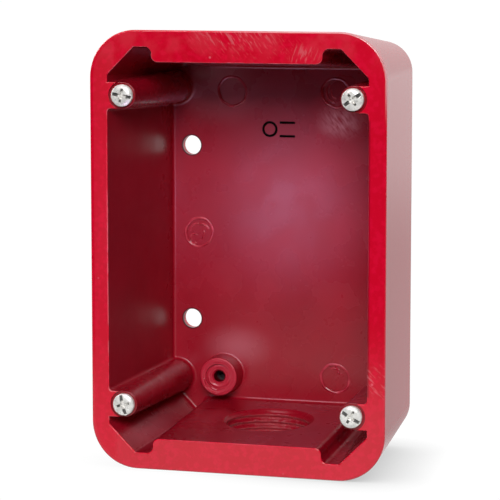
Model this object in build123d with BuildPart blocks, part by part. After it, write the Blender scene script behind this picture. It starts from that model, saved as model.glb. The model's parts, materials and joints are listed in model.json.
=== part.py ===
from build123d import *

import os
from math import radians, tan

# Surface-mount back box for a wall horn strobe: one die-cast casting and its four cover screws.
#
# Frame: X to the right and Z up as seen from the open front, Y into the wall. The origin is the
# centre of the flat rear face that lies on the wall, and the open front rim is at Y = -depth.

# Driving dimensions, in millimetres and degrees
height = 120.65  # 4 3/4 in
width = 83.0
depth = 50.8  # 2 in
corner_radius = 13.0
outer_draft = 4.9  # every wall leans in towards the back, so that the casting leaves its mould
inner_draft = 3.6
side_wall = 5.0
end_wall = 8.7  # the top and bottom walls are thick where conduit threads are tapped
back_wall = 2.5
rear_edge_radius = 1.5
rim_outer_radius = 0.5
rim_inner_radius = 0.3
floor_radius = 0.9

# Four posts for the cover screws, each joined to its side wall by a web of its own width
screw_spacing_x = 64.4
screw_spacing_z = 85.0
post_radius = 3.6
post_draft = 1.5
head_seat_radius = 3.9  # wider than the post, so that the post ends below the rim
head_seat_depth = 0.8
post_edge_radius = 0.25

# Cover screw: 6-32 pan head with a combined slot and cross recess
screw_major_radius = 1.75
screw_hole_clearance = 0.05
screw_length = 12.7
screw_hole_depth = 15.0
head_radius = 3.0
head_height = 1.9
head_edge_height = 0.7
head_crown_radius = 0.84
slot_width = 0.9
slot_depth = 0.8
cross_length = 3.6
cross_width = 0.75
cross_depth = 1.3
cross_taper = 12
screw_tip_chamfer = 0.4

# Channel in each corner, between a post and the thick wall, with a 45 degree outer side
channel_wall = 4.6
channel_diagonal = 7.6
channel_floor_diagonal = 7.3
channel_inner_x = 23.9
channel_corner_radius = 0.9
pad_corner_radius = 1.8
web_fillet = 1.0

# Two holes in the back wall, on a vertical line, for the screws that hold the box to the wall
wall_hole_radius = 2.8
wall_hole_x = -27.7
wall_hole_spacing = 50.8

# Conduit entry through the bottom wall, for a 3/4-14 NPT thread
entry_radius = 12.3  # at mid-thread
entry_x = 1.7
entry_from_rim = 26.8
entry_chamfer = 0.5

# Boss for the ground screw, low on the left of the back wall, tapped 8-32
ground_boss_x = -18.0
ground_boss_z = -41.3
ground_boss_radius = 5.6
ground_boss_height = 6.0
boss_root_radius = 0.5
boss_edge_radius = 0.4
ground_recess_radius = 3.8
ground_recess_depth = 0.8
ground_hole_radius = 1.7
ground_hole_depth = 6.7
ground_sink_radius = 2.1

# Round marks that the mould's ejector pins leave on the back wall
pin_mark_radius = 4.0
pin_mark_depth = 0.3
pin_marks = [(-25.6, 0.0), (-15.4, 41.2), (15.4, 41.2), (15.4, -41.2)]

# Maker-neutral mould mark: a ring and two bars
mark_x = -1.6
mark_z = 30.5
mark_height = 4.6
mark_line = 0.7
mark_pitch = 2.6
mark_depth = 0.2

# Worked-out sizes
cavity_depth = depth - back_wall
cavity_half_x = width / 2 - side_wall
cavity_half_z = height / 2 - channel_wall
pad_half_z = height / 2 - end_wall
draft_in = cavity_depth * tan(radians(inner_draft))
screw_hole_radius = screw_major_radius + screw_hole_clearance
head_seat_y = -depth + head_seat_depth
floor_y = -back_wall

rim_plane = Plane.XZ.offset(depth)
floor_plane = Plane.XZ.offset(back_wall)
boss_plane = Plane.XZ.offset(back_wall + ground_boss_height)

screws = {
    "cover_screw_top_left": (-screw_spacing_x / 2, screw_spacing_z / 2, -10),
    "cover_screw_top_right": (screw_spacing_x / 2, screw_spacing_z / 2, 35),
    "cover_screw_bottom_left": (-screw_spacing_x / 2, -screw_spacing_z / 2, 105),
    "cover_screw_bottom_right": (screw_spacing_x / 2, -screw_spacing_z / 2, 150),
}
post_centres = [(x, z) for x, z, _ in screws.values()]


def front_to_back(edge):
    """True for an edge of the hollow that runs from the rim to the floor."""
    return abs(edge.tangent_at(0.5).Y) > 0.9


def at_web(edge):
    """True where a post's web joins its side wall, on the side away from the corner."""
    middle = edge @ 0.5
    return abs(middle.X) > screw_spacing_x / 2 + 1 and abs(middle.Z) < screw_spacing_z / 2


def at_pad_corner(edge):
    """True where a thick wall ends at a corner channel."""
    return abs(abs((edge @ 0.5).X) - channel_inner_x) < 0.01


def at_boss_root(edge):
    """True for the circle where the ground boss rises from the back wall."""
    return is_boss_circle(edge, floor_y)


def at_boss_face(edge):
    """True for the outer edge of the ground boss's face."""
    return is_boss_circle(edge, floor_y - ground_boss_height)


def is_boss_circle(edge, y):
    """True for a circle about the ground boss's axis at the given depth."""
    if edge.geom_type != GeomType.CIRCLE:
        return False
    centre = edge.arc_center
    return (
        abs(centre.X - ground_boss_x) < 0.01
        and abs(centre.Z - ground_boss_z) < 0.01
        and abs(centre.Y - y) < 0.01
    )


def at_post_top(edge):
    """True for the outer edge of a post's end."""
    if edge.geom_type != GeomType.CIRCLE:
        return False
    on_seat = abs(edge.arc_center.Y - head_seat_y) < 0.01
    return on_seat and post_radius < edge.radius < head_seat_radius - 0.1


def at_entry_mouth(edge):
    """True for the rims of the conduit entry, inside and outside the box."""
    spot = edge @ 0.3
    off_axis = ((spot.X - entry_x) ** 2 + (spot.Y - entry_from_rim + depth) ** 2) ** 0.5
    return abs(off_axis - entry_radius) < 0.01 and edge.geom_type != GeomType.LINE


# The hollow of the casting, as the solid core that would fill it
with BuildPart() as hollow:
    for plane, lean, diagonal in (
        (rim_plane, 0, channel_diagonal),
        (floor_plane, draft_in, channel_floor_diagonal),
    ):
        with BuildSketch(plane):
            outline = Rectangle(2 * (cavity_half_x - lean), 2 * (cavity_half_z - lean))
            corners = chamfer(outline.vertices(), length=diagonal)
            fillet(corners.vertices(), radius=channel_corner_radius)
    loft(ruled=True)
    # The thick top and bottom walls, which lean in like the rest
    for side in (1, -1):
        with BuildSketch(Plane.YZ.offset(-channel_inner_x)):
            with BuildLine():
                Polyline(
                    (-depth, side * pad_half_z),
                    (floor_y, side * (pad_half_z - draft_in)),
                    (floor_y, side * height / 2),
                    (-depth, side * height / 2),
                    close=True,
                )
            make_face()
        extrude(amount=2 * channel_inner_x, mode=Mode.SUBTRACT)
    # The posts, which widen a little towards the back, and their webs
    with BuildSketch(rim_plane):
        for x, z in post_centres:
            with Locations((x, z)):
                Circle(post_radius)
            with Locations(((x + width / 2 * x / abs(x)) / 2, z)):
                Rectangle(width / 2 - abs(x), 2 * post_radius)
    extrude(amount=-cavity_depth, taper=-post_draft, mode=Mode.SUBTRACT)
    for place, radius in ((at_web, web_fillet), (at_pad_corner, pad_corner_radius)):
        fillet(hollow.edges().filter_by(front_to_back).filter_by(place), radius=radius)
    # The casting's inner corners along the back wall are rounded
    fillet(hollow.faces().sort_by(Axis.Y)[-1].edges(), radius=floor_radius)


with BuildPart() as box_casting:
    with BuildSketch(rim_plane):
        RectangleRounded(width, height, corner_radius)
    extrude(amount=-depth, taper=outer_draft)
    fillet(box_casting.faces().sort_by(Axis.Y)[-1].edges(), radius=rear_edge_radius)
    fillet(box_casting.faces().sort_by(Axis.Y)[0].edges(), radius=rim_outer_radius)
    add(hollow.part, mode=Mode.SUBTRACT)
    fillet(box_casting.faces().sort_by(Axis.Y)[0].inner_wires()[0].edges(), radius=rim_inner_radius)

    # Ground boss on the back wall, with a fillet at its root
    with BuildSketch(boss_plane):
        with Locations((ground_boss_x, ground_boss_z)):
            Circle(ground_boss_radius)
    extrude(amount=-ground_boss_height, taper=-post_draft)
    fillet(box_casting.edges().filter_by(at_boss_root), radius=boss_root_radius)
    fillet(box_casting.edges().filter_by(at_boss_face), radius=boss_edge_radius)
    with BuildSketch(boss_plane):
        with Locations((ground_boss_x, ground_boss_z)):
            Circle(ground_recess_radius)
    extrude(amount=-ground_recess_depth, mode=Mode.SUBTRACT)
    with Locations(boss_plane.offset(-ground_recess_depth)):
        with Locations((ground_boss_x, ground_boss_z)):
            CounterSinkHole(
                radius=ground_hole_radius,
                counter_sink_radius=ground_sink_radius,
                depth=ground_hole_depth,
                counter_sink_angle=90,
            )

    # Cover screw holes, each in a shallow seat for the screw's head
    with Locations(rim_plane):
        with Locations(*post_centres):
            CounterBoreHole(
                radius=screw_hole_radius,
                counter_bore_radius=head_seat_radius,
                counter_bore_depth=head_seat_depth,
                depth=screw_hole_depth,
            )

    fillet(box_casting.edges().filter_by(at_post_top), radius=post_edge_radius)

    # Holes to the wall behind
    with Locations(rim_plane):
        with Locations((wall_hole_x, wall_hole_spacing / 2), (wall_hole_x, -wall_hole_spacing / 2)):
            Hole(radius=wall_hole_radius)

    # Conduit entry in the bottom wall
    with BuildSketch(Plane.XY.offset(-height / 2)):
        with Locations((entry_x, entry_from_rim - depth)):
            Circle(entry_radius)
    extrude(amount=end_wall + draft_in, mode=Mode.SUBTRACT)
    chamfer(box_casting.edges().filter_by(at_entry_mouth), length=entry_chamfer)

    # Ejector pin marks and mould mark, sunk into the back wall
    with BuildSketch(floor_plane):
        with Locations(*pin_marks):
            Circle(pin_mark_radius)
    extrude(amount=-pin_mark_depth, mode=Mode.SUBTRACT)
    with BuildSketch(floor_plane):
        with Locations((mark_x - mark_pitch, mark_z)):
            Circle(mark_height / 2)
            Circle(mark_height / 2 - mark_line, mode=Mode.SUBTRACT)
        with Locations((mark_x + mark_pitch, mark_z)):
            with GridLocations(0, mark_height - mark_line, 1, 2):
                Rectangle(mark_height, mark_line)
    extrude(amount=-mark_depth, mode=Mode.SUBTRACT)


def cover_screw(x, z, turn):
    """A 6-32 screw with its head on its post's seat; turn is the slot's angle from level."""
    seat = (x, head_seat_y, z)
    profile_plane = Plane(origin=seat, x_dir=(1, 0, 0), z_dir=(0, 0, 1))
    top_plane = Plane(origin=seat, x_dir=(1, 0, 0), z_dir=(0, -1, 0)).offset(head_height)
    with BuildPart() as screw:
        with BuildSketch(profile_plane):
            with BuildLine():
                Line((0, -head_height), (head_radius - head_edge_height, -head_height))
                RadiusArc(
                    (head_radius - head_edge_height, -head_height),
                    (head_radius, head_edge_height - head_height),
                    head_crown_radius,
                )
                Polyline(
                    (head_radius, head_edge_height - head_height),
                    (head_radius, 0),
                    (screw_major_radius, 0),
                    (screw_major_radius, screw_length - screw_tip_chamfer),
                    (screw_major_radius - screw_tip_chamfer, screw_length),
                    (0, screw_length),
                    (0, -head_height),
                )
            make_face()
        revolve(axis=Axis(seat, (0, 1, 0)))
        with BuildSketch(top_plane):
            Rectangle(2.5 * head_radius, slot_width, rotation=turn)
        extrude(amount=-slot_depth, mode=Mode.SUBTRACT)
        with BuildSketch(top_plane):
            for arm in (turn, turn + 90):
                Rectangle(cross_length, cross_width, rotation=arm)
        extrude(amount=-cross_depth, taper=cross_taper, mode=Mode.SUBTRACT)
    return screw


os.makedirs("parts", exist_ok=True)
box_casting.part.label = "box_casting"
export_step(box_casting.part, "parts/box_casting.step")
for name, (x, z, turn) in screws.items():
    screw = cover_screw(x, z, turn)
    screw.part.label = name
    export_step(screw.part, f"parts/{name}.step")
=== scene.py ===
import json
import math

import bpy
import numpy as np
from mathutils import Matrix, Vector


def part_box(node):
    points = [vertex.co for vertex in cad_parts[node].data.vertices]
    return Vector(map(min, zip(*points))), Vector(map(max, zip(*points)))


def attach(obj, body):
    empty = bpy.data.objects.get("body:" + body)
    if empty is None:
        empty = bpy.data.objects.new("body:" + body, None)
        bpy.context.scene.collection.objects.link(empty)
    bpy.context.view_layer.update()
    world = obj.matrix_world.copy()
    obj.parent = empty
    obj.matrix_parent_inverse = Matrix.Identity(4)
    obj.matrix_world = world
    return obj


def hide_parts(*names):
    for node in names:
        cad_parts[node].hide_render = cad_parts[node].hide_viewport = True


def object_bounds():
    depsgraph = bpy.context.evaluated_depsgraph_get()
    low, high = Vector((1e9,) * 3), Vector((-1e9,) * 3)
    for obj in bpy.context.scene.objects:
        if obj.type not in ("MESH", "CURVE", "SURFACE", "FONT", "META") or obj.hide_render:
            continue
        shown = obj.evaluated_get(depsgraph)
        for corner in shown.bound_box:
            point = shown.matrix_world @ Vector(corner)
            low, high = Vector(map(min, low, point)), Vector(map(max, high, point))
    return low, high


# The looks of a red back box for a wall horn strobe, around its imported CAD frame.
# Metres, in the CAD's frame: X to the right and Z up seen from the open front, Y into the wall.

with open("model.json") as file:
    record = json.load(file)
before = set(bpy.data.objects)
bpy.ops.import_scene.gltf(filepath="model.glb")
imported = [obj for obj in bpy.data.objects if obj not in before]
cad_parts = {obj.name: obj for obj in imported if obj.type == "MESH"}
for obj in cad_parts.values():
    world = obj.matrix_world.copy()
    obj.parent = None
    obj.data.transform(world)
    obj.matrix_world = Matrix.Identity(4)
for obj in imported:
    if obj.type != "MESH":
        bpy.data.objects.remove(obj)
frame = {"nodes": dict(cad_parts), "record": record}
cad_low, cad_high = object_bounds()
scene = bpy.context.scene
mounts = {mount["name"]: mount for mount in frame["record"]["mounts"]}
MM = 0.001

# Sizes that the frame doesn't state
HEAD_HEIGHT = 1.9 * MM
HEAD_CROWN = 0.7 * MM
HEAD_EDGE = 0.12 * MM  # radius round the edge of the head's top
HEAD_CHAMFER = 0.08 * MM  # at the head's seat
SLOT_WIDTH = 0.9 * MM
SLOT_DEPTH = 0.8 * MM
CROSS_REACH = 2.2 * MM
CROSS_WIDTH = 0.75 * MM
CROSS_DEPTH = 1.3 * MM
SCREW_MAJOR_RADIUS = 1.75 * MM
SCREW_THREAD_DEPTH = 0.42 * MM
SCREW_PITCH = 25.4 / 32 * MM
TIP_CHAMFER = 0.5 * MM
SCREW_TURNS = {
    "cover_screw_top_left": -10,
    "cover_screw_top_right": 35,
    "cover_screw_bottom_left": 105,
    "cover_screw_bottom_right": 150,
}
CONDUIT_PITCH = 25.4 / 14 * MM
CONDUIT_RIDGE = 0.62 * MM
CONDUIT_TAPER = 1 / 32  # the radius lost for each unit of depth
GROUND_PITCH = 25.4 / 32 * MM
GROUND_RIDGE = 0.15 * MM
WALL_THICKNESS = 2.5 * MM
CORNER_RADIUS = 13 * MM
RIM_SIDE_WIDTH = 5 * MM
OUTER_LEAN = math.tan(math.radians(4.9))  # of the outer walls, inwards towards the back
SEAT_DEPTH = 0.8 * MM  # of the screw heads' seats below the rim
BOSS_HEIGHT = 6.0 * MM
BOSS_RADIUS = 5.6 * MM
RECESS_DEPTH = 0.8 * MM
MARK_PLACE = (-1.6 * MM, 30.4 * MM)  # of the mould mark, across and up
BURIED = 0.05 * MM  # how far added pieces reach below the surface that they stand on
HAIR = 0.02 * MM  # a gap too small to see
PIN_MARK_DEPTH = 0.3 * MM
PIN_MARK_RADIUS = 4.0 * MM
PIN_MARKS = {
    "left": (-25.6 * MM, 0.0),
    "top_left": (-15.4 * MM, 41.2 * MM),
    "top_right": (15.4 * MM, 41.2 * MM),
    "bottom_right": (15.4 * MM, -41.2 * MM),
}
# Ridges inside three of the pin marks: offset across and up, radius, start and sweep in degrees,
# width and height
LEFT_MARK_RIDGES = [
    (0.2 * MM, -0.6 * MM, 3.0 * MM, 30, 70, 0.8 * MM, 0.5 * MM),
    (-0.8 * MM, -0.3 * MM, 2.3 * MM, -50, 80, 0.6 * MM, 0.3 * MM),
    (-0.6 * MM, 0.2 * MM, 2.2 * MM, 60, 120, 0.6 * MM, 0.2 * MM),
    (-1.6 * MM, -1.6 * MM, 1.0 * MM, 30, 210, 0.6 * MM, 0.35 * MM),
    (-1.9 * MM, -2.2 * MM, 1.2 * MM, 200, 120, 0.7 * MM, 0.45 * MM),
]
CORNER_MARK_RIDGES = [
    (1.0 * MM, 3.3 * MM, 0.8 * MM, 20, 250, 0.6 * MM, 0.5 * MM),
    (1.5 * MM, 2.1 * MM, 0.7 * MM, 120, 200, 0.55 * MM, 0.35 * MM),
    (-0.4 * MM, 1.6 * MM, 1.4 * MM, 20, 110, 0.5 * MM, 0.2 * MM),
]
TOP_RIGHT_MARK_RIDGES = [
    (0.2 * MM, 0.0, 3.0 * MM, 130, 130, 0.7 * MM, 0.3 * MM),
    (0.4 * MM, 0.2 * MM, 1.9 * MM, 150, 110, 0.5 * MM, 0.2 * MM),
]
# Burrs on the ground boss's face, listed in the same way
BOSS_BURRS = [
    (0.0, 0.0, 4.3 * MM, 185, 40, 0.5 * MM, 0.3 * MM),
    (0.2 * MM, 0.1 * MM, 4.2 * MM, 232, 30, 0.6 * MM, 0.25 * MM),
    (-0.1 * MM, -0.1 * MM, 4.9 * MM, 205, 70, 0.45 * MM, 0.25 * MM),
    (0.0, 0.2 * MM, 4.4 * MM, 60, 50, 0.5 * MM, 0.15 * MM),
]

STROKE_LENGTH = 5.0  # of the streaks in the paint, in their own widths

# Colours of the paint, the plating and the bare metal
INSIDE_RED_DARK = (0.31, 0.001, 0.011, 1)
INSIDE_RED_LIGHT = (0.385, 0.0015, 0.016, 1)
INSIDE_GRAIN = (0.5, 0.035, 0.06, 1)
RIM_RED_DARK = (0.74, 0.0005, 0.021, 1)
RIM_RED_MID = (0.82, 0.001, 0.028, 1)
RIM_RED_LIGHT = (0.93, 0.004, 0.048, 1)
RIM_HAZE = (0.84, 0.04, 0.07, 1)
OUTSIDE_RED = (0.74, 0.003, 0.024, 1)
SEAT_SHADE_RED = (0.26, 0.001, 0.008, 1)
PALE_PINK = (0.9, 0.3, 0.34, 1)
SPECK_PINK = (0.9, 0.14, 0.2, 1)
STREAK_AND_LIGHT_PINK = (0.8, 0.34, 0.42, 1)
EDGE_HIGHLIGHT_PINK = (0.95, 0.5, 0.52, 1)
EDGE_SHADE_RED = (0.2, 0.0, 0.008, 1)
HOLE_SHADE_RED = (0.07, 0.0, 0.003, 1)
BOSS_RED = (0.54, 0.015, 0.042, 1)
FLASH_DARK = (0.38, 0.006, 0.024, 1)
FLASH_LIGHT = (0.62, 0.05, 0.085, 1)
MARK_BLACK = (0.004, 0.004, 0.004, 1)
ZINC_DULL = (0.8, 0.79, 0.75, 1)
ZINC_BRIGHT = (0.99, 0.98, 0.94, 1)
RECESS_SHADE_BLACK = (0.01, 0.01, 0.009, 1)
CUT_METAL_DARK = (0.1, 0.08, 0.08, 1)
CUT_METAL_LIGHT = (0.34, 0.27, 0.28, 1)
PAINTED_MOUTH = (0.2, 0.001, 0.008, 1)

# Brightness of the floor: to the camera in the open, and in reflections from front to horizon
FLOOR_OPEN = 1.02
FLOOR_FRONT = 0.95
FLOOR_DIFFUSE = 0.22
FLOOR_BEHIND = 0.6
FLOOR_FAR = 0.86
FLOOR_HORIZON = 1.0

# The glowing card in front of the box, and the backdrop's brightness in reflections
CARD_LAVENDER = (0.82, 0.62, 1, 1)
CARD_PLACE = (-0.0205, -0.08, 0.0005)
CARD_SIZE = (0.06, 0.068)
CARD_GLOW = 5.6
WORLD_FRONT = 0.024
WORLD_BACK = 0.864

# The camera and what it looks at, as places from the middle of the rim's plane
CAMERA_PLACE = (0.1877, -0.6273, 0.0833)
CAMERA_TARGET = (0.004, 0, 0.0016)
CAMERA_LENS = 176.4
GLINT_PINK = (1, 0.74, 0.78)


# ---------------------------------------------------------------------------------------------
# Node materials


class Nodes:
    """Builds one material's node tree."""

    def __init__(self, name):
        self.material = bpy.data.materials.new(name)
        self.material.use_nodes = True
        self.tree = self.material.node_tree
        self.tree.nodes.clear()
        self.output = self.tree.nodes.new("ShaderNodeOutputMaterial")
        geometry = self.add("ShaderNodeNewGeometry")
        self.position = geometry.outputs["Position"]
        self.normal = geometry.outputs["Normal"]

    def add(self, kind, settings=None, **inputs):
        """A node of this kind. Settings are its properties; inputs are values or sockets, by name."""
        made = self.tree.nodes.new(kind)
        for key, value in (settings or {}).items():
            setattr(made, key, value)
        for key, value in inputs.items():
            self.put(made.inputs[key.replace("_", " ")], value)
        return made

    def put(self, socket, value):
        """Links a socket to this one, or sets its value."""
        if isinstance(value, bpy.types.NodeSocket):
            self.tree.links.new(value, socket)
        else:
            socket.default_value = value

    def math(self, operation, *values):
        made = self.add("ShaderNodeMath", {"operation": operation})
        for socket, value in zip(made.inputs, values):
            self.put(socket, value)
        return made.outputs[0]

    def add_up(self, first, *others):
        """The sum of several values."""
        for other in others:
            first = self.math("ADD", first, other)
        return first

    def vector(self, operation, *values):
        made = self.add("ShaderNodeVectorMath", {"operation": operation})
        for socket, value in zip(made.inputs, values):
            self.put(socket, value)
        return made.outputs[0]

    def step(self, value, low, high, out_low=0.0, out_high=1.0):
        """A smooth step from out_low at low to out_high at high."""
        made = self.add("ShaderNodeMapRange", {"interpolation_type": "SMOOTHSTEP"})
        for key, number in (
            ("Value", value),
            ("From Min", low),
            ("From Max", high),
            ("To Min", out_low),
            ("To Max", out_high),
        ):
            self.put(made.inputs[key], number)
        return made.outputs[0]

    def mix(self, share, first, second):
        """Colour first where share is 0, second where it is 1."""
        made = self.add("ShaderNodeMix", {"data_type": "RGBA"})
        for socket, value in zip((made.inputs[0], made.inputs[6], made.inputs[7]), (share, first, second)):
            self.put(socket, value)
        return made.outputs[2]

    def over(self, colour, tint, mask, amount):
        """This colour with up to this amount of a tint over it, where the mask is 1."""
        return self.mix(self.math("MULTIPLY", mask, amount), colour, tint)

    def noise(self, scale, detail=2.0, roughness=0.5, where=None):
        """Noise with features of about 1 / scale metres."""
        made = self.add(
            "ShaderNodeTexNoise",
            Vector=where or self.position,
            Scale=scale,
            Detail=detail,
            Roughness=roughness,
        )
        return made.outputs["Fac"]

    def strokes(self, scale, length, lean):
        """Noise drawn out into strokes seen from the front, that lean from upright by some degrees."""
        turned = self.add(
            "ShaderNodeMapping",
            {"vector_type": "TEXTURE"},
            Vector=self.position,
            Rotation=(0, math.radians(lean), 0),
            Scale=(1, 1, length),
        )
        return self.noise(scale, detail=3, where=turned.outputs[0])

    def split(self, vector):
        """The three parts of a vector."""
        made = self.add("ShaderNodeSeparateXYZ", Vector=vector)
        return made.outputs["X"], made.outputs["Y"], made.outputs["Z"]

    def all_of(self, first, *others):
        """The product of several masks."""
        for other in others:
            first = self.math("MULTIPLY", first, other)
        return first

    def length(self, vector):
        made = self.add("ShaderNodeVectorMath", {"operation": "LENGTH"}, Vector=vector)
        return made.outputs["Value"]

    def outside(self, centre, halves):
        """Distance from a block with this centre and these half sizes."""
        away = self.vector("ABSOLUTE", self.vector("SUBTRACT", self.position, centre))
        return self.length(self.vector("MAXIMUM", self.vector("SUBTRACT", away, halves), (0, 0, 0)))

    def blob(self, centre, radii, softness=1.0):
        """1 at a centre, falling to 0 on an ellipsoid of these radii."""
        scaled = self.vector("DIVIDE", self.vector("SUBTRACT", self.position, centre), radii)
        return self.step(self.length(scaled), 1 - softness, 1.0, 1.0, 0.0)

    def bump(self, height, distance, strength=1.0):
        made = self.add("ShaderNodeBump", Height=height, Distance=distance, Strength=strength)
        return made.outputs[0]

    def surface(self, **inputs):
        """Ends the tree in one Principled surface and returns the material."""
        shader = self.add("ShaderNodeBsdfPrincipled", None, **inputs)
        self.tree.links.new(shader.outputs[0], self.output.inputs[0])
        return self.material


class CastingPaint(Nodes):
    """Nodes for the casting's paint, with the masks that its coats share."""

    def __init__(self, name):
        super().__init__(name)
        self.low, self.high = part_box("box_casting")
        self.rim_y, self.floor_y = self.low.y, -WALL_THICKNESS
        self.x, self.y, self.z = self.split(self.position)
        # How squarely the surface faces the front or the back
        self.facing = self.math("ABSOLUTE", self.split(self.normal)[1])
        self.tint = self.step(self.noise(45, detail=4), 0.2, 0.8)
        self.on_rim = self.step(self.y, self.rim_y + 0.6 * MM, self.rim_y + 0.1 * MM)
        # How far out a point lies towards the outer wall, which leans in towards the back
        straight = (self.high.x - CORNER_RADIUS, 1, self.high.z - CORNER_RADIUS)
        lean = self.math("MULTIPLY", self.math("SUBTRACT", self.y, self.rim_y), OUTER_LEAN)
        self.reach = self.add_up(self.outside((0, 0, 0), straight), lean)
        self.inside = self.all_of(
            self.step(self.reach, CORNER_RADIUS - 0.6 * MM, CORNER_RADIUS - 1.4 * MM),
            self.step(self.y, -1.0 * MM, -1.6 * MM),
        )


def painted_edge_shade(n):
    """A mask for painted shade along the inner edge of the rim's right side, standing for an edge that
    turns away from the light.
    """
    edge_x = n.high.x - RIM_SIDE_WIDTH
    below_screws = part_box("cover_screw_top_right")[0].z - 2 * MM
    return n.all_of(
        n.step(n.x, edge_x + 0.9 * MM, edge_x + 0.2 * MM),
        n.step(n.math("ABSOLUTE", n.z), below_screws, below_screws - 1 * MM),
        n.step(n.x, 0.0, edge_x),
    )


def rubbed_strokes(n, colour):
    """Strokes where the rim was rubbed.

    They lean left along the top, right near its end, and left low on the right. Each is its centre
    and radii, noise scale, lean, lowest noise shown and amount."""
    top_z = n.high.z
    for centre, radii, scale, lean, low, amount in (
        ((0, n.rim_y, top_z - 1.5 * MM), (0.016, 0.01, 0.0045), 2000, -35, 0.5, 0.36),
        ((0.004, n.rim_y, top_z - 4 * MM), (0.022, 0.01, 0.006), 2300, -42, 0.55, 0.12),
        ((0.018, n.rim_y, top_z - 6 * MM), (0.007, 0.01, 0.0035), 1800, 20, 0.5, 0.3),
        ((0.039, n.rim_y, -0.0325), (0.006, 0.01, 0.0065), 1100, -47, 0.52, 0.36),
    ):
        stroke = n.step(n.strokes(scale, STROKE_LENGTH, lean), low, low + 0.16)
        colour = n.over(colour, PALE_PINK, n.all_of(stroke, n.blob(centre, radii, 0.7)), amount)
    return colour


def rim_colour(n):
    """Ground and repainted rim: bright red, painted brighter than the inside as painted light, hazy along
    the top, scuffed and speckled.
    """
    colour = n.mix(n.tint, RIM_RED_DARK, RIM_RED_MID)
    mottle = n.step(n.noise(700, detail=3), 0.45, 0.65)
    colour = n.over(colour, RIM_RED_LIGHT, mottle, 0.5)
    near_top = n.step(n.z, n.high.z - 13 * MM, n.high.z - 1 * MM)
    haze = n.all_of(near_top, n.step(n.noise(160, detail=4), 0.38, 0.62))
    colour = n.over(colour, RIM_HAZE, haze, 0.55)
    # Painted shade along the rim's inner right edge
    colour = n.over(colour, EDGE_SHADE_RED, painted_edge_shade(n), 0.7)
    colour = rubbed_strokes(n, colour)
    # Pale pink specks in the paint, in a few places
    specks = n.add("ShaderNodeTexVoronoi", {"feature": "F1"}, Vector=n.position, Scale=230)
    speck = n.step(specks.outputs["Distance"], 0.11, 0.05)
    rare = n.step(n.noise(75, detail=0), 0.57, 0.62)
    return n.over(colour, SPECK_PINK, n.all_of(speck, rare), 0.8)


def pale_streaks_and_light(n, colour):
    """Pale streaks on the back wall, and painted light on the back wall above the ground boss and in the
    lower corners.

    Each patch is its centre and radii, lean, lowest noise shown and amount."""
    for centre, radii, lean, low, amount in (
        ((0.0165, n.floor_y, 0.033), (0.0085, 0.002, 0.0065), -36, 0.25, 0.7),
        ((0.026, n.floor_y, 0.02), (0.007, 0.002, 0.009), -28, 0.5, 0.08),
        ((-0.019, n.floor_y, 0.043), (0.018, 0.002, 0.014), 20, 0.0, 0.3),
        ((0.018, n.floor_y, -0.04), (0.01, 0.002, 0.007), 48, 0.5, 0.12),
        # Painted light: this patch and the two below lighten the lit back wall above the boss and the
        # corners' sloping faces
        ((-0.014, n.floor_y, -0.033), (0.013, 0.002, 0.008), 60, 0.0, 0.26),
        ((-0.0315, -0.03, -0.0535), (0.007, 0.03, 0.006), 60, 0.0, 0.24),
        ((0.0315, -0.03, -0.0535), (0.007, 0.03, 0.006), 60, 0.0, 0.14),
    ):
        stroke = n.step(n.strokes(1500, STROKE_LENGTH, lean), low, low + 0.4)
        colour = n.over(colour, STREAK_AND_LIGHT_PINK, n.all_of(stroke, n.blob(centre, radii)), amount)
    return colour


def inside_colour(n):
    """Deeper red inside, painted darker than the rim as painted shade, with pale streaks, patches of
    painted light and painted shade rings at the wall holes.
    """
    colour = n.mix(n.tint, INSIDE_RED_DARK, INSIDE_RED_LIGHT)
    grain = n.step(n.noise(3200, detail=1), 0.35, 0.65)
    colour = n.over(colour, INSIDE_GRAIN, grain, 0.12)
    colour = pale_streaks_and_light(n, colour)
    wall_holes = mounts["wall_holes"]
    for side in (1, -1):
        centre = Vector(wall_holes["pos_m"])
        centre.z += side * wall_holes["dims"]["spacing_y_mm"] / 2 * MM
        centre.y = n.floor_y
        ring = wall_holes["dims"]["hole_r_mm"] * MM + 0.55 * MM
        # Painted shade: a dark ring round each wall hole, where its inner wall lies in shade
        colour = n.mix(n.blob(centre, (ring, 0.001, ring), 0.14), colour, HOLE_SHADE_RED)
    return colour


def painted_seat_shade(n, colour):
    """Painted shade: dull, dark paint in the seats below the screw heads, where the heads shade them."""
    for node in SCREW_TURNS:
        low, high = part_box(node)
        centre = (low + high) / 2
        centre.y = n.rim_y + SEAT_DEPTH
        seat = n.blob(centre, (4.6 * MM, 0.5 * MM, 4.6 * MM), 0.2)
        colour = n.over(colour, SEAT_SHADE_RED, seat, 0.85)
    return colour


def boss_face(n):
    """A mask for the ground boss's face, painted a brighter red than the wall round it."""
    x, _, z = mounts["ground_screw_hole"]["pos_m"]
    centre = (x, n.floor_y - BOSS_HEIGHT + 0.2 * MM, z)
    face = n.blob(centre, (BOSS_RADIUS * 1.1, 1.4 * MM, BOSS_RADIUS * 1.1), 0.1)
    return n.math("MULTIPLY", face, n.step(n.facing, 0.5, 0.9))


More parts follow.
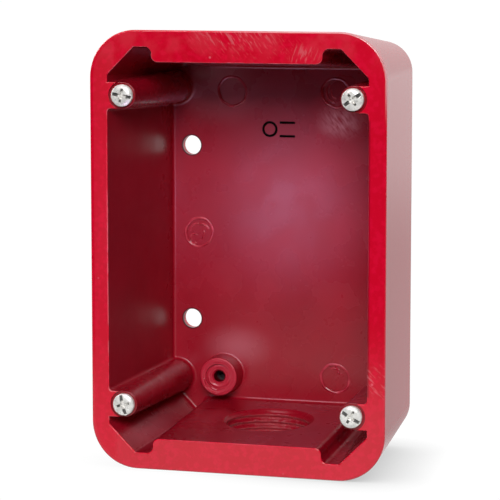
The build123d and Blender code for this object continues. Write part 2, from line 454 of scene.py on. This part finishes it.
def pale_edges_and_highlight(n, colour):
    """Pale pink round the opening's edges, broken up by noise, and a painted highlight on the outer top
    right corner.
    """
    around_opening = n.all_of(
        n.on_rim,
        n.inside,
        n.step(n.facing, 0.99, 0.9),
        n.step(n.z, n.low.z + 7 * MM, n.low.z + 12 * MM),
        n.step(n.x, 27 * MM, 24 * MM),
        n.step(n.noise(260, detail=3), 0.42, 0.62),
    )
    colour = n.over(colour, PALE_PINK, around_opening, 0.35)
    # Painted highlight along the rounded outer edge of the top right corner
    corner_highlight = n.all_of(
        n.step(n.reach, CORNER_RADIUS - 0.6 * MM, CORNER_RADIUS - 0.2 * MM),
        n.step(n.y, n.rim_y + 0.7 * MM, n.rim_y + 0.3 * MM),
        n.step(n.x, -10 * MM, 20 * MM),
        n.step(n.z, 35 * MM, 48 * MM),
    )
    return n.over(colour, EDGE_HIGHLIGHT_PINK, corner_highlight, 0.8)


def mould_mark_ink(n):
    """A mask for the black ink, which lies only in the sunk mould mark."""
    return n.all_of(
        n.blob((MARK_PLACE[0], n.floor_y, MARK_PLACE[1]), (6 * MM, 4 * MM, 4 * MM), 0.05),
        n.step(n.y, n.floor_y + 0.08 * MM, n.floor_y + 0.12 * MM),
        n.step(n.y, n.floor_y + 0.8 * MM, n.floor_y + 0.6 * MM),
    )


def paint_relief(n, on_boss):
    """Orange peel inside, beads of paint on the conduit thread and a rough boss. Smooth outside."""
    entry = Vector(mounts["conduit_entry"]["pos_m"])
    by_entry = n.blob(entry, (13.5 * MM, 13.5 * MM, 8 * MM), 0.1)
    beads = n.all_of(by_entry, n.step(n.noise(160), 0.3, 0.6))
    peel = n.add_up(
        n.noise(1500, detail=3, roughness=0.6),
        n.math("MULTIPLY", n.noise(3600, detail=1), 0.7),
        n.math("MULTIPLY", n.noise(260, detail=1), 0.8),
        n.math("MULTIPLY", n.all_of(n.step(n.noise(1300, detail=2), 0.45, 0.7), beads), 60.0),
        n.math("MULTIPLY", n.all_of(n.noise(700, detail=3), on_boss), 16.0),
    )
    strength = n.math("MULTIPLY", n.math("MAXIMUM", n.inside, beads), 0.35)
    return n.bump(peel, 0.022 * MM, strength)


def paint_roughness(n, on_boss, in_mark):
    """Glossy, but duller on the inner left wall, in patches inside, on the boss and in the ink."""
    patches = n.all_of(n.step(n.noise(110, detail=3), 0.3, 0.7, 0.04, 0.12), n.inside)
    return n.add_up(
        0.2,
        n.all_of(n.inside, n.step(n.x, n.low.x + 8.0 * MM, n.low.x + 6.0 * MM, 0.0, 0.14)),
        n.all_of(patches, n.math("SUBTRACT", 1.0, n.on_rim)),
        n.math("MULTIPLY", on_boss, 0.08),
        n.math("MULTIPLY", in_mark, 0.5),
    )


def red_paint():
    """Gloss red paint on the casting: bright and worn on the rim, orange peel inside. The rim's brighter
    red is painted light and the inside's deeper red painted shade.
    """
    n = CastingPaint("red_paint")
    on_boss = boss_face(n)
    in_mark = mould_mark_ink(n)
    by_rim = n.step(n.y, n.rim_y + 4.5 * MM, n.rim_y + 0.5 * MM, 0.0, 0.7)
    colour = n.mix(by_rim, OUTSIDE_RED, RIM_RED_LIGHT)
    # Inside, the red is darker than on the rim: painted shade for the light that the walls keep out
    colour = n.mix(n.inside, colour, inside_colour(n))
    colour = n.mix(n.on_rim, colour, rim_colour(n))
    # Painted shade in the seats round the screw heads
    colour = painted_seat_shade(n, colour)
    colour = n.mix(on_boss, colour, BOSS_RED)
    colour = pale_edges_and_highlight(n, colour)
    colour = n.mix(in_mark, colour, MARK_BLACK)
    return n.surface(
        Base_Color=colour,
        Roughness=paint_roughness(n, on_boss, in_mark),
        Specular_IOR_Level=n.math("SUBTRACT", 0.5, n.math("MULTIPLY", in_mark, 0.5)),
        Normal=paint_relief(n, on_boss),
    )


def zinc_plate():
    """Bright zinc plating on the cover screws, with painted shade darkening the recess."""
    n = Nodes("zinc_plate")
    tone = n.mix(n.step(n.noise(700, detail=4), 0.35, 0.6), ZINC_DULL, ZINC_BRIGHT)
    dirt = n.add("ShaderNodeAttribute", {"attribute_name": "dirt"}).outputs["Fac"]
    # Painted shade: dark in the slot and cross recess, where shadows fall
    tone = n.over(tone, RECESS_SHADE_BLACK, dirt, 0.9)
    return n.surface(
        Base_Color=tone,
        Metallic=n.step(n.noise(900, detail=2), 0.35, 0.65, 0.0, 0.3),
        Roughness=n.step(n.noise(1100, detail=3), 0.3, 0.7, 0.22, 0.42),
        Normal=n.bump(n.noise(1800, detail=3), 0.03 * MM, 0.8),
    )


def bare_thread():
    """Cut metal in the ground screw's hole, bare below a mouth that caught some paint."""
    n = Nodes("bare_thread")
    tone = n.mix(n.noise(1500, detail=3), CUT_METAL_DARK, CUT_METAL_LIGHT)
    mouth = -WALL_THICKNESS - BOSS_HEIGHT + RECESS_DEPTH + 0.5 * MM
    painted = n.step(n.split(n.position)[1], mouth + 4.0 * MM, mouth + 2.0 * MM)
    tone = n.mix(painted, tone, PAINTED_MOUTH)
    return n.surface(Base_Color=tone, Metallic=0.8, Roughness=0.42, Normal=n.bump(n.noise(4000), 0.01 * MM))


def flash_paint():
    """The same paint on raised flash, painted paler than the wall in noisy patches as painted highlight on
    the ridges.
    """
    n = Nodes("flash_paint")
    tone = n.mix(n.step(n.noise(300, detail=3), 0.35, 0.65), FLASH_DARK, FLASH_LIGHT)
    return n.surface(Base_Color=tone, Roughness=0.25, Normal=n.bump(n.noise(1500, detail=3), 0.04 * MM))


def pale_floor():
    """Plain white studio floor that glows, with a painted soft contact shadow, which the paint sees as dark
    in front.
    """
    n = Nodes("pale_floor")
    x, y, _ = n.split(n.position)
    path = n.add("ShaderNodeLightPath").outputs
    front = n.math("SUBTRACT", n.step(y, -0.26, -0.14), n.step(y, -0.05, 0.02))
    front_glow = n.add_up(FLOOR_DIFFUSE, n.math("MULTIPLY", path["Is Glossy Ray"], FLOOR_FRONT))
    reflected = n.add_up(
        n.all_of(front, front_glow),
        n.step(y, -0.05, 0.02, 0.0, FLOOR_BEHIND),
        n.step(y, 0.4, 1.0, 0.0, FLOOR_FAR - FLOOR_BEHIND),
        n.step(y, 0.9, 2.5, 0.0, FLOOR_HORIZON - FLOOR_FAR),
    )
    # The painted shadow is deeper on the right, away from the left light
    open_sky = n.add("ShaderNodeAmbientOcclusion", {"samples": 12}, Distance=0.016).outputs["AO"]
    covered = n.math("SUBTRACT", 1.0, open_sky)
    shade = n.all_of(covered, n.step(x, -0.02, 0.035, 0.1, 0.55))
    seen = n.math("SUBTRACT", FLOOR_OPEN, shade)
    is_camera = path["Is Camera Ray"]
    glow = n.add_up(
        n.math("MULTIPLY", is_camera, seen),
        n.math("MULTIPLY", n.math("SUBTRACT", 1.0, is_camera), reflected),
    )
    return n.surface(
        Base_Color=(0, 0, 0, 1),
        Roughness=1.0,
        Specular_IOR_Level=0.0,
        Emission_Color=(1, 1, 1, 1),
        Emission_Strength=glow,
    )


def soft_card_glow():
    """A lavender glow that fades to nothing at the card's edge."""
    n = Nodes("soft_card")
    spot = n.blob(CARD_PLACE, (CARD_SIZE[0] / 2, 0.05, CARD_SIZE[1] / 2))
    strength = n.math("MULTIPLY", spot, CARD_GLOW)
    glow = n.add("ShaderNodeEmission", Color=CARD_LAVENDER, Strength=strength)
    n.tree.links.new(glow.outputs[0], n.output.inputs[0])
    return n.material


# ---------------------------------------------------------------------------------------------
# Mesh pieces


def add_mesh(name, points, faces, material, flip=False):
    """A smooth mesh object from points and faces. Flip turns faces that look inwards outwards."""
    mesh = bpy.data.meshes.new(name)
    mesh.from_pydata([tuple(point) for point in points], [], faces)
    if flip:
        mesh.flip_normals()
    mesh.polygons.foreach_set("use_smooth", [True] * len(mesh.polygons))
    mesh.materials.append(material)
    mesh.validate()
    made = bpy.data.objects.new(name, mesh)
    scene.collection.objects.link(made)
    return made


def ring_faces(rings, sides, loop=False):
    """Quads that join each ring of points to the next, and the last to the first in a loop."""
    faces = []
    for ring in range(rings if loop else rings - 1):
        for side in range(sides):
            after = (side + 1) % sides
            here = ring * sides
            there = (ring + 1) % rings * sides
            faces.append((here + side, here + after, there + after, there + side))
    return faces


def smoothstep(value, low, high):
    share = np.clip((value - low) / (high - low), 0, 1)
    return share * share * (3 - 2 * share)


def ridge(phase):
    """Height of a softened V thread, from 0 at its root to 1 at its crest, once per unit of phase."""
    sawtooth = 1 - np.abs(2 * (phase % 1) - 1)
    return smoothstep(sawtooth, 0.1, 0.95)


def bore_ends(mount):
    """The two ends of a bore along the frame's Z, as straight lines over Y: (slope, level) pairs."""
    centre = Vector(mount["pos_m"])
    radius = mount["dims"]["r_mm"] * MM
    points = np.array([vertex.co for vertex in frame["nodes"]["box_casting"].data.vertices])
    off_axis = np.hypot(points[:, 0] - centre.x, points[:, 1] - centre.y)
    wall = points[np.abs(off_axis - radius) < HAIR]
    lower = wall[wall[:, 2] < centre.z]
    upper = wall[wall[:, 2] > centre.z]
    return np.polyfit(lower[:, 1], lower[:, 2], 1), np.polyfit(upper[:, 1], upper[:, 2], 1)


def conduit_thread(material):
    """The painted taper thread in the conduit entry, as a lining of the bore."""
    mount = mounts["conduit_entry"]
    centre = Vector(mount["pos_m"])
    radius = mount["dims"]["r_mm"] * MM
    sides, rings = 288, 150
    angles = np.arange(sides) / sides * 2 * math.pi
    lower, upper = bore_ends(mount)
    bottom = np.polyval(lower, centre.y + radius * np.sin(angles))
    top = np.polyval(upper, centre.y + radius * np.sin(angles))
    points = []

    def add_ring(r, z):
        points.extend(zip(centre.x + r * np.cos(angles), centre.y + r * np.sin(angles), z))

    for share in np.linspace(0, 1, rings):
        z = bottom + share * (top - bottom)
        fade = smoothstep(share, 0, 0.05) * smoothstep(1 - share, 0, 0.05)
        crest = ridge((z - centre.z) / CONDUIT_PITCH - angles / (2 * math.pi))
        depth = CONDUIT_TAPER * (z - bottom) + CONDUIT_RIDGE * crest
        add_ring(radius - HAIR - depth * fade, z)
    # The lining's outside, buried in the casting
    for share in (1, 0):
        add_ring(radius + 2 * BURIED, bottom + share * (top - bottom))
    faces = ring_faces(rings + 2, sides, loop=True)
    made = add_mesh("conduit_thread", points, faces, material, flip=True)
    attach(made, "box")


def ground_thread(material):
    """The tapped hole in the ground boss, as a closed cup of thread that lines it."""
    mount = mounts["ground_screw_hole"]
    centre = Vector(mount["pos_m"])
    radius = mount["dims"]["r_mm"] * MM
    corners = np.array([vertex.co for vertex in frame["nodes"]["box_casting"].data.vertices])
    off_axis = np.hypot(corners[:, 0] - centre.x, corners[:, 2] - centre.z)
    wall = corners[np.abs(off_axis - radius) < HAIR]
    mouth, end = wall[:, 1].min(), wall[:, 1].max()
    sides, rings = 96, 110
    angles = np.arange(sides) / sides * 2 * math.pi
    points = []

    def add_ring(r, y):
        points.extend(
            zip(centre.x + r * np.cos(angles), np.full(sides, y), centre.z + r * np.sin(angles))
        )

    for y in np.linspace(mouth + HAIR, end - BURIED, rings):
        crest = ridge((y - mouth) / GROUND_PITCH + angles / (2 * math.pi))
        fade = smoothstep(y - mouth, 0, 0.3 * MM)
        add_ring(radius - HAIR / 2 - GROUND_RIDGE * crest * fade, y)
    # The cup's end, and then its outside, buried in the casting
    add_ring(HAIR, end - BURIED)
    add_ring(HAIR, end + BURIED)
    add_ring(radius + BURIED, end + BURIED)
    add_ring(radius + BURIED, mouth + HAIR)
    made = add_mesh("ground_hole_thread", points, ring_faces(rings + 4, sides, loop=True), material)
    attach(made, "box")


def flash_ridge(number, level, x, z, radius, start, sweep, width, height):
    """Points and faces of one ridge of flash. Its number changes how it wavers."""
    across = np.linspace(-1, 1, 9)
    sides = len(across) + 2
    half = width / 2
    loop = sweep == 360
    count = max(14, int(sweep / 3))
    points = []
    for share in np.arange(count) / (count if loop else count - 1):
        angle = math.radians(start + sweep * share)
        waver = 0.03 * math.sin(2 * angle + x / MM) + 0.014 * math.sin(7 * angle + number)
        middle = radius * (1 + waver)
        rise = height * (0.65 + 0.35 * math.sin(3 * angle + number + radius / MM))
        if loop:
            # A whole ring stands highest at its lower left
            rise *= 0.7 + 0.45 * math.cos(angle - math.radians(225))
        else:
            rise *= smoothstep(share, -0.02, 0.3) * smoothstep(1 - share, -0.02, 0.3)
        profile = [(middle + half * a, level - rise * math.cos(a * math.pi / 2) ** 2) for a in across]
        profile += [(middle + half, level + BURIED), (middle - half, level + BURIED)]
        points += [(x + r * math.cos(angle), y, z + r * math.sin(angle)) for r, y in profile]
    faces = ring_faces(count, sides, loop)
    if not loop:
        last = (count - 1) * sides
        faces.append(tuple(reversed(range(sides))))
        faces.append(tuple(last + side for side in range(sides)))
    return points, faces


def flash_ridges(name, ridges, level, material):
    """Thin raised lines of flash on the back wall. Their sides taper out, and so do their ends.

    A ridge is its centre across and up, radius, start and sweep in degrees, width and height.
    Level is the surface's place along Y."""
    points, faces = [], []
    for number, shape in enumerate(ridges):
        first = len(points)
        ridge_points, ridge_faces = flash_ridge(number, level, *shape)
        points += ridge_points
        faces += [tuple(first + corner for corner in face) for face in ridge_faces]
    made = add_mesh(name, points, faces, material)
    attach(made, "box")


def boss_rings(material):
    """Raised rings on the ground boss: one round the edge of its face and one in its recess."""
    x, _, z = mounts["ground_screw_hole"]["pos_m"]
    face = -WALL_THICKNESS - BOSS_HEIGHT
    rings = ((4.8 * MM, 0.9 * MM, 0.12 * MM, face), (3.0 * MM, 1.1 * MM, 0.3 * MM, face + RECESS_DEPTH))
    for number, (radius, width, height, level) in enumerate(rings):
        ring = (x, z, radius, 0, 360, width, height)
        flash_ridges(f"ground_boss_ring_{number + 1}", [ring], level, material)
    burrs = [(x + across, z + up, *shape) for across, up, *shape in BOSS_BURRS]
    flash_ridges("ground_boss_burrs", burrs, face, material)


def pin_mark_flash(material):
    """The raised rims of the ejector pin marks, and the torn metal inside three of them."""
    rim = PIN_MARK_RADIUS + 0.15 * MM
    for place, (x, z) in PIN_MARKS.items():
        ring = (x, z, rim, 0, 360, 0.75 * MM, 0.28 * MM)
        flash_ridges("pin_mark_flash_" + place, [ring], -WALL_THICKNESS, material)
    for place, ridges in (
        ("left", LEFT_MARK_RIDGES),
        ("bottom_right", CORNER_MARK_RIDGES),
        ("top_right", TOP_RIGHT_MARK_RIDGES),
    ):
        x, z = PIN_MARKS[place]
        placed = [(x + across, z + up, *shape) for across, up, *shape in ridges]
        flash_ridges("pin_mark_tear_" + place, placed, PIN_MARK_DEPTH - WALL_THICKNESS, material)


def recess_depth(along, across):
    """Depth of the slot and cross recess at points given along and across the slot."""
    edge = 0.06 * MM
    slot = SLOT_DEPTH * (1 - smoothstep(np.abs(across), SLOT_WIDTH / 2 - edge, SLOT_WIDTH / 2 + edge))
    depth = slot
    for u, v in ((along, across), (across, along)):
        # Each wing narrows and rises towards its tip
        reach = np.abs(u) / CROSS_REACH
        half = CROSS_WIDTH / 2 * (1 - 0.25 * reach)
        inside = 1 - smoothstep(np.abs(v), half - edge, half + edge)
        floor = CROSS_DEPTH * (1 - smoothstep(reach, 0.35, 1.05))
        depth = np.maximum(depth, inside * floor)
    return depth


def head_crown(radii, head_radius):
    """How far the head's top has fallen at these radii."""
    return HEAD_CROWN * (radii / head_radius) ** 4 * 0.9


def head_rings(head_radius, top_y, slot_angle, angles):
    """Rings of (radii, places along Y) over a screw's crowned head and down to its seat."""
    sides = len(angles)
    along, across = np.cos(angles - slot_angle), np.sin(angles - slot_angle)
    rings = []
    for r in np.linspace(HAIR, head_radius - HEAD_EDGE, 64):
        sunk = np.maximum(head_crown(r, head_radius), recess_depth(r * along, r * across))
        rings.append((np.full(sides, r), top_y + sunk))
    # The rounded edge and the side, which the slot cuts through
    cut = recess_depth(head_radius * along, head_radius * across)
    for corner in np.linspace(0, math.pi / 2, 5):
        r = head_radius - HEAD_EDGE * (1 - math.sin(corner))
        y = top_y + head_crown(head_radius, head_radius) + HEAD_EDGE * (1 - math.cos(corner))
        rings.append((np.full(sides, r), np.maximum(y, top_y + cut)))
    seat_y = top_y + HEAD_HEIGHT
    for r, y in (
        (head_radius, seat_y - 0.25 * MM),
        (head_radius, seat_y - HEAD_CHAMFER),
        (head_radius - HEAD_CHAMFER, seat_y),
    ):
        rings.append((np.full(sides, r), np.full(sides, y)))
    return rings


def shank_rings(seat_y, tip_y, angles):
    """Rings of (radii, places along Y) down a screw's thread, from its seat to its tip."""
    sides = len(angles)
    root = SCREW_MAJOR_RADIUS - SCREW_THREAD_DEPTH
    rings = [(np.full(sides, root + 0.2 * MM), np.full(sides, seat_y))]
    steps = int((tip_y - seat_y) / SCREW_PITCH * 12)
    for y in np.linspace(seat_y + 0.05 * MM, tip_y, steps):
        run_in = smoothstep(y - seat_y, 0.1 * MM, 1.2 * MM)
        run_out = smoothstep(tip_y - y, 0, TIP_CHAMFER)
        crest = ridge(y / SCREW_PITCH - angles / (2 * math.pi))
        core = root * (0.8 + 0.2 * run_out)
        rings.append((core + SCREW_THREAD_DEPTH * crest * run_in * run_out, np.full(sides, y)))
    rings.append((np.full(sides, HAIR), np.full(sides, tip_y)))
    return rings


def recess_shade_share(radii, ys, head_radius, top_y):
    """How much painted shade a ring's points get. The painted shade lies in the outer ends of the slot and
    the cross.
    """
    sunk = smoothstep(ys - top_y - head_crown(radii, head_radius), 0.1 * MM, 0.4 * MM)
    above_seat = smoothstep(top_y + HEAD_HEIGHT - ys, 0, 0.3 * MM)
    off_middle = smoothstep(radii, 1.0 * MM, 1.35 * MM)
    off_edge = smoothstep(head_radius - radii, 0.15 * MM, 0.45 * MM)
    return sunk * (above_seat * off_middle) * off_edge


def cover_screw(node, turn, material):
    """A 6-32 pan head screw with its thread, standing for a CAD screw."""
    low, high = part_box(node)
    x, z = (low.x + high.x) / 2, (low.z + high.z) / 2
    head_radius = (high.x - low.x) / 2
    sides = 216
    angles = np.arange(sides) / sides * 2 * math.pi
    rings = head_rings(head_radius, low.y, math.radians(turn), angles)
    rings += shank_rings(low.y + HEAD_HEIGHT, high.y, angles)
    points = []
    for radii, ys in rings:
        points += list(zip(x + radii * np.cos(angles), ys, z + radii * np.sin(angles)))
    faces = ring_faces(len(rings), sides)
    last = (len(rings) - 1) * sides
    faces.append(tuple(range(sides)))
    faces.append(tuple(last + side for side in reversed(range(sides))))
    made = add_mesh(node.replace("cover_screw", "plated_screw"), points, faces, material, flip=True)
    # Painted shade for each point of the head's recess
    recess_shade_values = [recess_shade_share(radii, ys, head_radius, low.y) for radii, ys in rings]
    dirt = made.data.attributes.new("dirt", "FLOAT", "POINT")
    dirt.data.foreach_set("value", np.concatenate(recess_shade_values).astype(np.float32))
    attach(made, node + "_body")
    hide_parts(node)


# ---------------------------------------------------------------------------------------------
# Stage, lights and camera


def aim(thing, place, target):
    thing.location = place
    thing.rotation_euler = (Vector(target) - Vector(place)).to_track_quat("-Z", "Y").to_euler()


def add_floor(material):
    half = 6.0
    level = cad_low.z - 0.02 * MM
    corners = [(x, y, level) for x, y in ((-half, -half), (half, -half), (half, half), (-half, half))]
    floor = add_mesh("floor", corners, [(0, 1, 2, 3)], material)


def add_light(name, place, target, size, power, tint=(1, 1, 1)):
    light = bpy.data.lights.new(name, "AREA")
    light.shape = "RECTANGLE"
    light.size, light.size_y = size
    light.energy = power
    light.color = tint
    made = bpy.data.objects.new(name, light)
    scene.collection.objects.link(made)
    aim(made, place, target)
    return made


def add_card():
    """A soft glowing card in front of the box, which the back wall shows as a painted sheen. Only glossy
    paint sees it.
    """
    half_x, half_z = CARD_SIZE[0] / 2, CARD_SIZE[1] / 2
    x, y, z = CARD_PLACE
    corners = [
        (x - half_x, y, z - half_z),
        (x - half_x, y, z + half_z),
        (x + half_x, y, z + half_z),
        (x + half_x, y, z - half_z),
    ]
    card = add_mesh("reflector_card", corners, [(0, 1, 2, 3)], soft_card_glow())
    card.visible_camera = False
    card.visible_diffuse = False
    card.visible_shadow = False
    card.visible_transmission = False


def add_world():
    """A studio that is white to the camera, white behind the box and dim in front of it."""
    world = bpy.data.worlds.new("studio")
    scene.world = world
    world.use_nodes = True
    tree = world.node_tree
    tree.nodes.clear()
    direction = tree.nodes.new("ShaderNodeTexCoord")
    split = tree.nodes.new("ShaderNodeSeparateXYZ")
    level = tree.nodes.new("ShaderNodeMapRange")
    path = tree.nodes.new("ShaderNodeLightPath")
    brightest = tree.nodes.new("ShaderNodeMath")
    background = tree.nodes.new("ShaderNodeBackground")
    output = tree.nodes.new("ShaderNodeOutputWorld")
    level.inputs["From Min"].default_value = -0.2
    level.inputs["From Max"].default_value = 0.6
    level.inputs["To Min"].default_value = WORLD_FRONT
    level.inputs["To Max"].default_value = WORLD_BACK
    brightest.operation = "MAXIMUM"
    background.inputs["Color"].default_value = (1, 1, 1, 1)
    tree.links.new(direction.outputs["Generated"], split.inputs[0])
    tree.links.new(split.outputs["Y"], level.inputs["Value"])
    tree.links.new(level.outputs[0], brightest.inputs[0])
    tree.links.new(path.outputs["Is Camera Ray"], brightest.inputs[1])
    tree.links.new(brightest.outputs[0], background.inputs["Strength"])
    tree.links.new(background.outputs[0], output.inputs[0])


def add_camera():
    camera = bpy.data.cameras.new("camera")
    camera.lens = CAMERA_LENS
    camera.sensor_width = 36
    camera.clip_start = 0.05
    camera.clip_end = 50
    made = bpy.data.objects.new("camera", camera)
    scene.collection.objects.link(made)
    rim = Vector((0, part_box("box_casting")[0].y, 0))
    aim(made, rim + Vector(CAMERA_PLACE), rim + Vector(CAMERA_TARGET))
    scene.camera = made


# ---------------------------------------------------------------------------------------------
# The box and its studio

paint = red_paint()
zinc = zinc_plate()
casting = frame["nodes"]["box_casting"]
casting.data.materials.clear()
casting.data.materials.append(paint)
conduit_thread(paint)
ground_thread(bare_thread())
flash = flash_paint()
pin_mark_flash(flash)
boss_rings(paint)
for screw_node, screw_turn in SCREW_TURNS.items():
    cover_screw(screw_node, screw_turn, zinc)

add_floor(pale_floor())
add_world()
middle = (cad_low + cad_high) / 2
add_light("key", (0.19, -1.0, 0.48), middle, (0.45, 0.4), 9)
add_light("left", (-0.9, 0.1, 0.5), middle, (0.5, 0.5), 6)
glint = add_light("glint", (-0.28, -0.7, 0.62), middle, (0.4, 0.3), 4, GLINT_PINK)
glint.visible_diffuse = False
add_card()
add_camera()
scene.view_settings.view_transform = "Standard"
